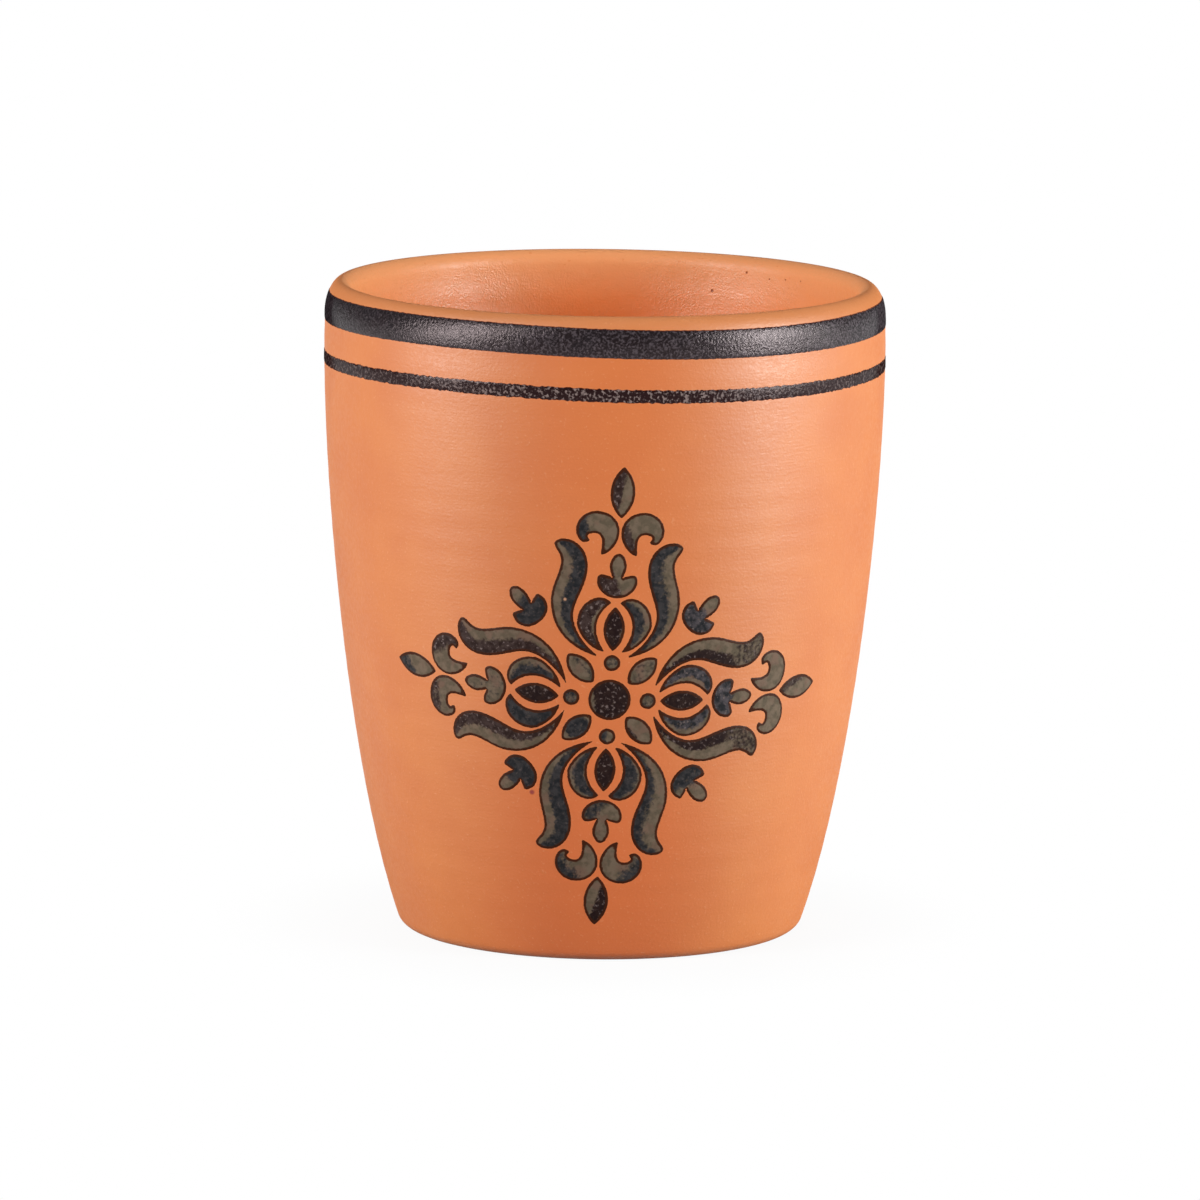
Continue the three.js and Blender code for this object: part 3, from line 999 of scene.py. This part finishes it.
def charcoal_finish():
    return stripe_finish(
        "charcoal_stripe",
        base=CHARCOAL,
        pale=CHARCOAL_PALE,
        size=0.3,
        specks=(0.44, 0.66),
        # Painted shade at the -X end, painted sheen at the +X end
        sides=(0.5, 1.5),
        depth=0.08,
        gloss=0.36,
    )


def speckled_finish():
    return stripe_finish(
        "speckled_stripe",
        base=MAROON,
        pale=SPECK,
        size=0.36,
        specks=(0.5, 0.66),
        # Fewer specks at both ends: partly the stripe's own specks, partly painted shade
        sides=(0.4, 0.4),
        depth=0.07,
        gloss=0.17,
    )


def enamel_finish(name, dark, other_dark, specks):
    """Painted enamel: olive and dark tones, pale specks in the dark, and a dark outline."""
    f = Finish(name)
    lumps = f.cloud(size=0.5, detail=3.0)
    uneven = f.math("SUBTRACT", lumps, 0.5)
    fine = f.cloud(size=0.42, detail=2.5, shift=4.0)
    light = f.mix(f.between(f.cloud(size=1.0, detail=3.0, shift=7.0), 0.38, 0.62), OLIVE, OLIVE_PALE)
    light = f.mix(f.between(f.cloud(size=2.2, shift=12.0), 0.52, 0.68, 0.0, 0.8), light, TAUPE)
    deep = f.mix(f.between(f.cloud(size=0.8, detail=4.0, shift=2.0), 0.36, 0.66), dark, other_dark)
    tone = f.between(f.math("MULTIPLY_ADD", uneven, TONE_FRAY, f.attribute("tone")), 0.15, 0.85)
    colour = f.mix(tone, light, deep)
    colour = f.mix(f.math("MULTIPLY", f.between(fine, 0.55, 0.75, 0.0, specks), tone), colour, SPECK)
    frayed = f.math("MULTIPLY_ADD", uneven, OUTLINE_FRAY, f.attribute("edge"))
    colour = f.mix(f.between(frayed, *OUTLINE_WIDTH, 1.0, 0.0), colour, OUTLINE)
    return f.shade(
        base_color=f.mix(f.near(*CHIP, inner=False), colour, CHIP_PINK),
        roughness=f.between(lumps, 0.3, 0.7, *ENAMEL_ROUGH),
        normal=f.bump(fine, depth=0.025, below=f.bump(lumps, depth=0.03)),
        specular_ior_level=ENAMEL_GLOSS,
    )


# The flower: its paint and tones, for a kind of motif or for a single one

PAINTS = {
    "centre_disc": ("plum", side(80, 0.86, soft=0.06)),
    "dot": ("olive", plain(0.5)),
    "dot_left": ("navy", plain(0.6)),
    "dot_bottom": ("navy", side(90, 0.5, 0.8)),
    "seed": ("plum", side(-80, 0.88, soft=0.08)),
    "bud_top": ("purple", side(-115, 0.5)),
    "bud_right": ("navy_painted_sheen", side(185, 0.52)),
    "bud_bottom": ("navy", side(125, 0.4, 0.7)),
    "bud_left": ("olive", plain(0.25)),
    "tip_leaf_top": ("purple", side(-80, 0.5)),
    "tip_leaf_right": ("purple", side(-110, 0.36, 0.75)),
    "tip_leaf_bottom": ("plum", side(-75, 0.52)),
    "tip_leaf_left": ("navy", side(-40, 0.4, 0.8)),
    "scroll_top_left": ("navy", side(100, 0.3)),
    "scroll_top_right": ("purple", side(-115, 0.26, soft=0.14)),
    "scroll_right_left": ("olive", plain(0.1)),
    "scroll_right_right": ("olive", plain(0.05)),
    "scroll_bottom_left": ("navy", side(50, 0.34, 0.85, 0.2)),
    "scroll_bottom_right": ("navy", side(50, 0.34, 0.85, 0.2)),
    "scroll_left_left": ("purple", side(10, 0.3, 0.75)),
    "scroll_left_right": ("purple", side(60, 0.38, 0.85)),
    "inner_petal_top_left": ("purple", inner_shade(1.2, 0.1, 0.3)),
    "inner_petal_top_right": ("navy", inner_shade(0.62, 0.12)),
    "inner_petal_right_left": ("navy_painted_sheen", inner_shade(1.2, 0.1, 0.4)),
    "inner_petal_right_right": ("navy_painted_sheen", inner_shade(0.66, 0.12)),
    "inner_petal_bottom_left": ("navy", inner_shade(0.78, 0.16)),
    "inner_petal_bottom_right": ("navy", inner_shade(0.7, 0.12, 0.2)),
    "inner_petal_left_left": ("navy", inner_shade(0.98, 0.1, 0.16)),
    "inner_petal_left_right": ("navy", inner_shade(0.62, 0.14)),
    "outer_petal_top_left": ("navy", outer_shade(0.56, 0.08)),
    "outer_petal_top_right": ("navy", outer_shade(0.55, 0.14, 0.5)),
    "outer_petal_right_left": ("plum", outer_shade(0.48, 0.05, 1.0, 0.5)),
    "outer_petal_right_right": ("plum", outer_shade(0.5, 0.05, 1.0, 0.55)),
    "outer_petal_bottom_left": ("navy", outer_shade(0.42, 0.14, 0.8)),
    "outer_petal_bottom_right": ("navy", outer_shade(0.6, 0.08)),
    "outer_petal_left_left": ("purple", outer_shade(0.52, 0.1)),
    "outer_petal_left_right": ("purple", outer_shade(0.56, 0.1)),
    "diagonal_leaf_top_right": ("olive", plain(0.3)),
    "diagonal_leaf_bottom_right": ("plum", side(90, 0.28, 0.8)),
    "diagonal_leaf_bottom_left": ("navy", round_spot(0.5, 18, 6.5)),
    "diagonal_leaf_top_left": ("olive", side(90, 0.5, 0.4)),
    "corner_bud_top_right": ("navy_painted_sheen", side(180, 0.55)),
    "corner_bud_bottom_right": ("navy", side(205, 0.5, 0.9)),
    "corner_bud_bottom_left": ("navy", side(170, 0.66)),
    "corner_bud_top_left": ("navy", side(170, 0.66)),
}


def make_flower():
    finishes = {
        "olive": enamel_finish("olive_paint", NAVY, SLATE, specks=0.1),
        "navy": enamel_finish("navy_paint", NAVY, STEEL, specks=0.2),
        "purple": enamel_finish("purple_paint", UMBER, PURPLE, specks=0.75),
        # Painted sheen: a lit copy of the navy paint, lighter and more speckled, for pieces on the +X side
        "navy_painted_sheen": enamel_finish("lavender_paint", NAVY, NAVY_PAINTED_SHEEN, specks=0.5),
        "plum": enamel_finish("plum_paint", PLUM, UMBER, specks=0.65),
    }

    def paint(node, kind, curves, turn, mirrored=False):
        finish, shade = PAINTS.get(node) or PAINTS[kind]
        motif(node, curves, turn, mirrored, shade, finishes[finish])

    paint("centre_disc", "centre_disc", centre_disc(), 0)
    for arm, turn in ARMS.items():
        paint(f"dot_{arm}", "dot", dot(), turn)
        paint(f"seed_{arm}", "seed", seed(), turn)
        paint(f"bud_{arm}", "bud", bud(), turn)
        paint(f"tip_leaf_{arm}", "tip_leaf", tip_leaf(), turn)
        for hand, mirrored in (("left", True), ("right", False)):
            paint(f"inner_petal_{arm}_{hand}", "inner_petal", inner_petal(), turn, mirrored)
            paint(f"outer_petal_{arm}_{hand}", "outer_petal", outer_petal(), turn, mirrored)
            paint(f"scroll_{arm}_{hand}", "scroll", scroll(), turn, mirrored)
    for corner, turn in CORNERS.items():
        paint(f"diagonal_leaf_{corner}", "diagonal_leaf", diagonal_leaf(), turn)
        paint(f"corner_bud_{corner}", "corner_bud", sprig(), turn)


# Stage: white floor and surroundings, softboxes and the camera


def make_world():
    """An even light from all around."""
    world = bpy.data.worlds.new("surroundings")
    world.use_nodes = True
    background = world.node_tree.nodes["Background"].inputs
    background["Color"].default_value = WHITE
    background["Strength"].default_value = WORLD_STRENGTH
    bpy.context.scene.world = world


def floor_finish():
    """Matt, looks white, and keeps a share of the cup's shadow round its foot."""
    f = Finish("floor")
    f.tree.nodes.remove(f.shader)
    path = f.node("ShaderNodeLightPath").outputs
    seen = path["Is Camera Ray"]
    mirrored = f.math("MAXIMUM", path["Is Glossy Ray"], path["Is Transmission Ray"])
    matt = f.node("ShaderNodeBsdfDiffuse")
    f.feed(matt.inputs["Color"], f.mix(f.math("MAXIMUM", seen, mirrored), FLOOR_LIT, FLOOR_SEEN))
    bright = f.node("ShaderNodeEmission")
    far = f.node("ShaderNodeVectorMath", operation="LENGTH")
    f.feed(far.inputs[0], f.place)
    whiteness = f.math("MULTIPLY", seen, f.over(far.outputs["Value"], SHADOW_REACH, SHADOW_WHITENESS, 1.0))
    reflected = f.over(far.outputs["Value"], MIRRORED_REACH, MIRRORED_WHITENESS, 1.0)
    mixed = f.node("ShaderNodeMixShader")
    f.feed(mixed.inputs["Fac"], f.math("MULTIPLY_ADD", mirrored, reflected, whiteness))
    f.feed(mixed.inputs[1], matt.outputs["BSDF"])
    f.feed(mixed.inputs[2], bright.outputs["Emission"])
    f.feed(f.tree.nodes["Material Output"].inputs["Surface"], mixed.outputs["Shader"])
    return f.material


def make_floor():
    half = FLOOR_SIZE / 2 * MM
    level = -FLOOR_DROP * MM
    mesh = bpy.data.meshes.new("floor")
    corners = [(-half, -half, level), (half, -half, level), (half, half, level), (-half, half, level)]
    mesh.from_pydata(corners, [], [(0, 1, 2, 3)])
    mesh.materials.append(floor_finish())
    floor = add("floor", mesh)


def softbox(name, turn, height, width, tall, radiance, tint=WHITE):
    """A rectangle of even light that faces the cup, its turn in degrees from the front towards +X."""
    data = bpy.data.lights.new(name, "AREA")
    data.shape = "RECTANGLE"
    data.size = width * MM
    data.size_y = tall * MM
    data.energy = radiance * math.pi * data.size * data.size_y
    data.color = tint[:3]
    lamp = add(name, data)
    place = Vector(placed(math.radians(turn), LAMP_DISTANCE, height)) * MM
    aim = Vector((0, 0, CUP_HEIGHT / 2)) * MM
    turned = (place - aim).to_track_quat("Z", "Y").to_matrix().to_4x4()
    lamp.matrix_world = Matrix.Translation(place) @ turned
    return lamp


def make_lamps():
    """Lights on both sides, and a dim one behind the cup that puts no glint on the lip."""
    softbox("right_softbox", turn=70, height=300, width=350, tall=600, radiance=30.5, tint=COOL)
    softbox("right_side_softbox", turn=94, height=150, width=400, tall=300, radiance=5.6, tint=COOL)
    softbox("left_high_softbox", turn=-49, height=850, width=600, tall=300, radiance=8.6, tint=FAINTLY_COOL)
    softbox("left_softbox", turn=-58, height=450, width=400, tall=300, radiance=23.6, tint=FAINTLY_COOL)
    softbox("left_low_softbox", turn=-70, height=160, width=380, tall=320, radiance=15.6, tint=FAINTLY_COOL)
    back = softbox("back_softbox", turn=180, height=900, width=600, tall=500, radiance=6.0)
    back.visible_glossy = False


def make_camera():
    data = bpy.data.cameras.new("camera")
    data.sensor_width = SENSOR
    data.lens = LENS
    camera = add("camera", data)
    aim = Matrix.Translation(Vector((AIM_ASIDE, 0, AIM_HEIGHT)) * MM)
    tilt = Matrix.Rotation(math.pi / 2 - CAMERA_PITCH, 4, "X") @ Matrix.Rotation(CAMERA_ROLL, 4, "Z")
    camera.matrix_world = aim @ tilt @ Matrix.Translation((0, 0, CAMERA_DISTANCE * MM))
    bpy.context.scene.camera = camera


make_camera()
clay_body(clay_finish())
stripe("upper_stripe", "upper_band", UPPER_BAND_TOP, UPPER_BAND_WIDTH, UPPER_BAND_RAGGED, charcoal_finish())
stripe("lower_stripe", "lower_band", LOWER_BAND_TOP, LOWER_BAND_WIDTH, LOWER_BAND_RAGGED, speckled_finish())
make_flower()

make_world()
make_floor()
make_lamps()
bpy.context.scene.view_settings.view_transform = "Standard"
